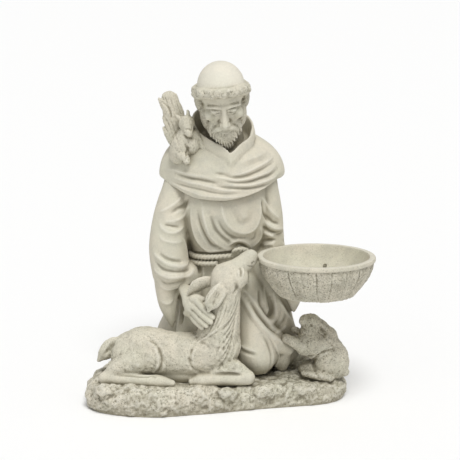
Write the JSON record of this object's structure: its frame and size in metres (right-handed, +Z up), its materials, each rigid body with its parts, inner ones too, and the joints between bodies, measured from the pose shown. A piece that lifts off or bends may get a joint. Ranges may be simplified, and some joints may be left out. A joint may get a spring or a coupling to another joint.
{
  "type": "garden statue",
  "caption": "Kneeling friar in a hooded robe with a squirrel on one shoulder, stroking a lying fawn and holding out a round fluted feeding bowl, with a rabbit beside him on a rough oval base.",
  "frame": {"origin": "middle of the base's flat underside", "axes": "+Z up, the friar faces -Y, +X towards the hand that holds the bowl"},
  "size_m": [0.4046, 0.2494, 0.476],
  "materials": {
    "cast_stone": "matt, weathered, with grey-green dirt in the hollows"
  },
  "bodies": {
    "root": {"saint_francis_statue": "cast_stone"}
  },
  "joints": []
}
